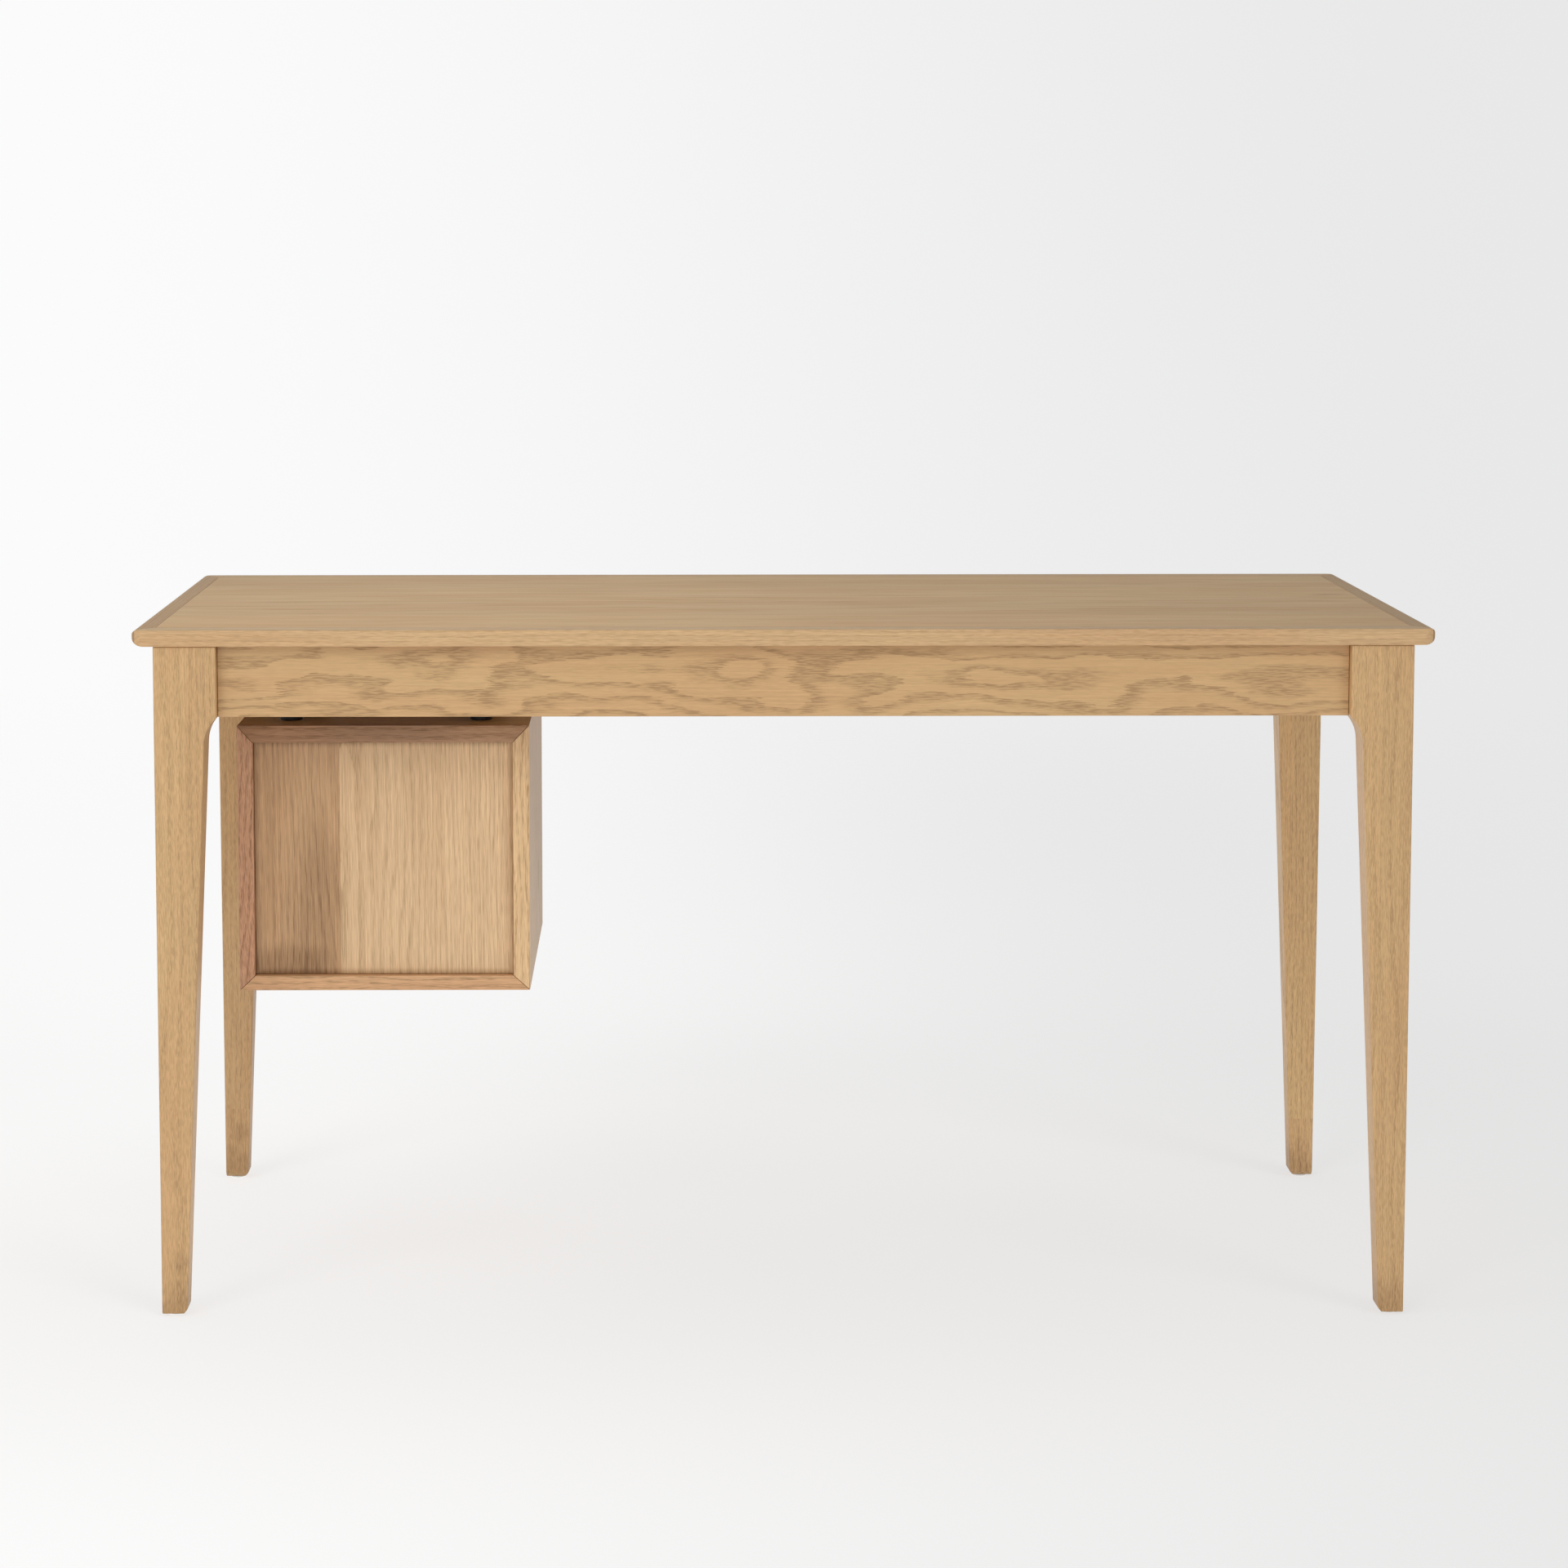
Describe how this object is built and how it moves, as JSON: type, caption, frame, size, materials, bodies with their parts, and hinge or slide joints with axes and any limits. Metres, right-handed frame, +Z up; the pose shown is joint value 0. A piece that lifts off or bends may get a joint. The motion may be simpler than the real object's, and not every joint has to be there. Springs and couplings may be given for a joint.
{
  "type": "writing desk with drawers",
  "caption": "Oak writing desk: a framed top on tapered legs with arched shoulders and plain aprons, and a drawer pedestal hung under one end on black standoffs.",
  "frame": {"origin": "on the floor, at the middle of the top's outline seen from above", "axes": "+Z up, +X to the user's right, where the pedestal hangs, and +Y away from the user; the drawers open towards -Y"},
  "size_m": [1.416, 0.56, 0.762],
  "materials": {
    "oak_solid": "satin clear lacquer on solid light oak",
    "oak_veneer": "satin clear lacquer on crown-cut light oak veneer",
    "oak_pedestal": "satin clear lacquer on light oak, a little redder than the frame",
    "frame_wood": "planed and unfinished inside the frame",
    "drawer_wood": "thin clear lacquer on pale drawer stock",
    "black_steel": "matt black powder coat",
    "zinc_steel": "bright zinc plate",
    "nylon": "white moulded nylon"
  },
  "bodies": {
    "desk": {"top_panel": "oak_veneer", "top_edge_front": "oak_solid", "top_edge_back": "oak_solid", "top_end_left": "oak_solid", "top_end_right": "oak_solid", "leg_front_left": "oak_solid", "leg_front_right": "oak_solid", "leg_back_left": "oak_solid", "leg_back_right": "oak_solid", "foot_glide_front_left": "nylon", "foot_glide_front_right": "nylon", "foot_glide_back_left": "nylon", "foot_glide_back_right": "nylon", "apron_front": "oak_veneer", "apron_back": "oak_veneer", "apron_left": "oak_veneer", "apron_right": "oak_veneer", "corner_block_front_left": "frame_wood", "corner_block_front_right": "frame_wood", "corner_block_back_left": "frame_wood", "corner_block_back_right": "frame_wood", "bearer_inner": "frame_wood", "bearer_outer": "frame_wood", "centre_brace": "frame_wood", "pedestal_top": "oak_pedestal", "pedestal_bottom": "oak_pedestal", "pedestal_side_inner": "oak_pedestal", "pedestal_side_outer": "oak_pedestal", "pedestal_back_panel": "oak_veneer", "standoff_front_left": "black_steel", "standoff_front_right": "black_steel", "standoff_back_left": "black_steel", "standoff_back_right": "black_steel", "hang_bolt_front_left": "zinc_steel", "hang_bolt_front_right": "zinc_steel", "hang_bolt_back_left": "zinc_steel", "hang_bolt_back_right": "zinc_steel", "drawer_lower_slide_case_left": "zinc_steel", "drawer_lower_slide_case_right": "zinc_steel", "drawer_upper_slide_case_left": "zinc_steel", "drawer_upper_slide_case_right": "zinc_steel"},
    "drawer_lower": {"drawer_lower_front": "oak_pedestal", "drawer_lower_side_left": "drawer_wood", "drawer_lower_side_right": "drawer_wood", "drawer_lower_back": "drawer_wood", "drawer_lower_bottom": "drawer_wood", "drawer_lower_knob": "oak_pedestal", "drawer_lower_knob_screw": "zinc_steel", "drawer_lower_slide_drawer_left": "zinc_steel", "drawer_lower_slide_drawer_right": "zinc_steel"},
    "drawer_upper": {"drawer_upper_front": "oak_pedestal", "drawer_upper_side_left": "drawer_wood", "drawer_upper_side_right": "drawer_wood", "drawer_upper_back": "drawer_wood", "drawer_upper_bottom": "drawer_wood", "drawer_upper_knob": "oak_pedestal", "drawer_upper_knob_screw": "zinc_steel", "drawer_upper_slide_drawer_left": "zinc_steel", "drawer_upper_slide_drawer_right": "zinc_steel"}
  },
  "joints": [
    {"name": "drawer_lower_slide", "type": "slide", "parent": "desk", "child": "drawer_lower", "axis": [0, -1, 0], "range_m": [0, 0.225]},
    {"name": "drawer_upper_slide", "type": "slide", "parent": "desk", "child": "drawer_upper", "axis": [0, -1, 0], "range_m": [0, 0.225]}
  ]
}
